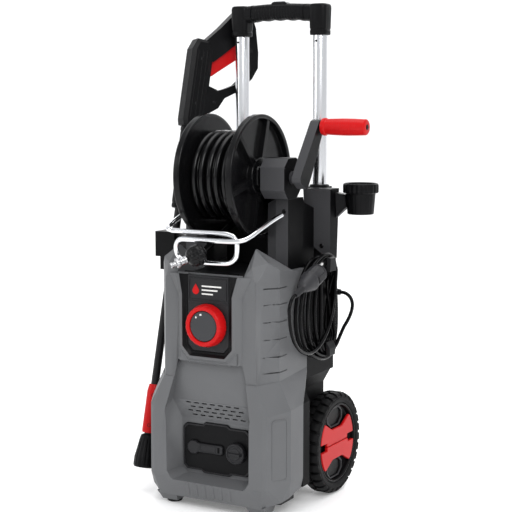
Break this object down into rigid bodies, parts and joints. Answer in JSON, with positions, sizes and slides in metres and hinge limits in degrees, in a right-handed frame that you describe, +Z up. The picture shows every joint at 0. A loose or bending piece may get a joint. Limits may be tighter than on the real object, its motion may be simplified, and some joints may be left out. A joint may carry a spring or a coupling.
{
  "type": "pressure washer",
  "caption": "Upright electric pressure washer on two wheels with hose reel, telescopic handle, parked trigger gun and lance, nozzle cup and mains cord on hooks.",
  "frame": {"origin": "on the floor, below the middle of the footprint measured without the mains cord and the free hose end", "axes": "+Z up, -Y towards the front with the control panel, +X towards the crank and the mains cord"},
  "size_m": [0.4528, 0.4222, 0.9595],
  "materials": {
    "cover_grey": "fine-grained moulded plastic",
    "black_plastic": "lightly textured moulded plastic",
    "dark_plastic": "satin moulded plastic",
    "red_plastic": "semi-gloss moulded plastic",
    "tyre": "matt solid tyre",
    "foot_rubber": "matt rubber",
    "tube_aluminium": "bright anodised tube",
    "chrome_wire": "bright chrome",
    "axle_steel": "turned steel",
    "lance_black": "black powder coat",
    "hose": "smooth black hose",
    "cord": "black mains lead",
    "pump_aluminium": "cast light metal",
    "white_plastic": "natural plastic",
    "brass": "turned brass"
  },
  "bodies": {
    "machine": {"front_cover": "cover_grey", "rear_housing": "black_plastic", "base_tray": "black_plastic", "foot_right": "foot_rubber", "foot_left": "foot_rubber", "trough_panel": "black_plastic", "control_panel": "dark_plastic", "lower_panel": "black_plastic", "axle": "axle_steel", "tower_right": "black_plastic", "tower_left": "black_plastic", "reel_bracket_right": "black_plastic", "reel_bracket_left": "black_plastic", "bearing_head_right": "dark_plastic", "bearing_head_left": "dark_plastic", "hose_guide_wire": "chrome_wire", "hose_lead": "hose", "hose_stopper": "black_plastic", "hose_coupling": "chrome_wire", "lance_clip": "black_plastic", "nozzle_cup": "black_plastic", "cord_hook_upper": "black_plastic", "cord_hook_lower": "black_plastic", "power_cord_hank": "cord", "cable_gland": "black_plastic", "cord_lead": "cord", "mains_plug": "dark_plastic", "motor": "pump_aluminium", "pump_head": "pump_aluminium", "detergent_tank": "white_plastic", "switch_box": "white_plastic", "water_inlet": "brass", "high_pressure_outlet": "brass"},
    "handle": {"handle_tube_right": "tube_aluminium", "handle_tube_left": "tube_aluminium", "handle_grip": "black_plastic"},
    "release_button": {"release_button": "dark_plastic"},
    "reel": {"reel_shaft": "dark_plastic", "reel_drum": "black_plastic", "reel_flange_right": "black_plastic", "reel_flange_left": "black_plastic", "hose_winding": "hose", "crank_arm": "dark_plastic"},
    "crank_grip": {"crank_grip": "red_plastic"},
    "wheel_right": {"tyre_right": "tyre", "rim_right": "black_plastic", "wheel_cap_right": "red_plastic"},
    "wheel_left": {"tyre_left": "tyre", "rim_left": "black_plastic", "wheel_cap_left": "red_plastic"},
    "power_knob": {"power_knob": "red_plastic", "knob_dial": "dark_plastic"},
    "detergent_cap": {"detergent_cap": "dark_plastic"},
    "service_flap": {"service_flap": "dark_plastic"},
    "gun": {"gun_body": "black_plastic", "lance_tube": "lance_black", "lance_sleeve": "red_plastic", "spray_nozzle": "black_plastic"},
    "gun_trigger": {"gun_trigger": "red_plastic"},
    "motor_fan": {"motor_fan": "black_plastic"}
  },
  "joints": [
    {"name": "handle_slide", "type": "slide", "parent": "machine", "child": "handle", "axis": [0, 0, -1], "range_m": [0, 0.225]},
    {"name": "release_button_press", "type": "slide", "parent": "handle", "child": "release_button", "axis": [0, 0, -1], "range_m": [0, 0.004], "stiffness_N_per_m": 600, "springref_m": -0.001},
    {"name": "reel_spin", "type": "hinge", "parent": "machine", "child": "reel", "pos_m": [-0.01961, -0.06173, 0.626], "axis": [1, 0, 0], "continuous": true},
    {"name": "crank_grip_spin", "type": "hinge", "parent": "reel", "child": "crank_grip", "pos_m": [0.18039, -0.00173, 0.718], "axis": [1, 0, 0], "continuous": true},
    {"name": "wheel_right_spin", "type": "hinge", "parent": "machine", "child": "wheel_right", "pos_m": [0.11839, 0.07327, 0.1], "axis": [1, 0, 0], "continuous": true},
    {"name": "wheel_left_spin", "type": "hinge", "parent": "machine", "child": "wheel_left", "pos_m": [-0.15761, 0.07327, 0.1], "axis": [1, 0, 0], "continuous": true},
    {"name": "power_knob_turn", "type": "hinge", "parent": "machine", "child": "power_knob", "pos_m": [-0.01961, -0.16673, 0.355], "axis": [0, -1, 0], "range_deg": [-90, 0]},
    {"name": "detergent_cap_turn", "type": "hinge", "parent": "machine", "child": "detergent_cap", "pos_m": [0.02639, -0.13173, 0.112], "axis": [0, -1, 0], "range_deg": [0, 180]},
    {"name": "service_flap_swing", "type": "hinge", "parent": "machine", "child": "service_flap", "pos_m": [-0.08011, -0.13923, 0.113], "axis": [0, 0, -1], "range_deg": [0, 95]},
    {"name": "gun_lift", "type": "slide", "parent": "machine", "child": "gun", "axis": [0.0293, 0.2139, 0.9764], "range_m": [0, 0.22]},
    {"name": "trigger_pull", "type": "hinge", "parent": "gun", "child": "gun_trigger", "pos_m": [-0.16637, 0.09815, 0.85702], "axis": [0.8375, -0.5384, 0.0928], "range_deg": [0, 7], "stiffness_Nm_per_rad": 1.2, "springref_deg": -2.86},
    {"name": "motor_spin", "type": "hinge", "parent": "machine", "child": "motor_fan", "pos_m": [-0.01961, 0.01127, 0.4], "axis": [0, 0, 1], "continuous": true}
  ]
}
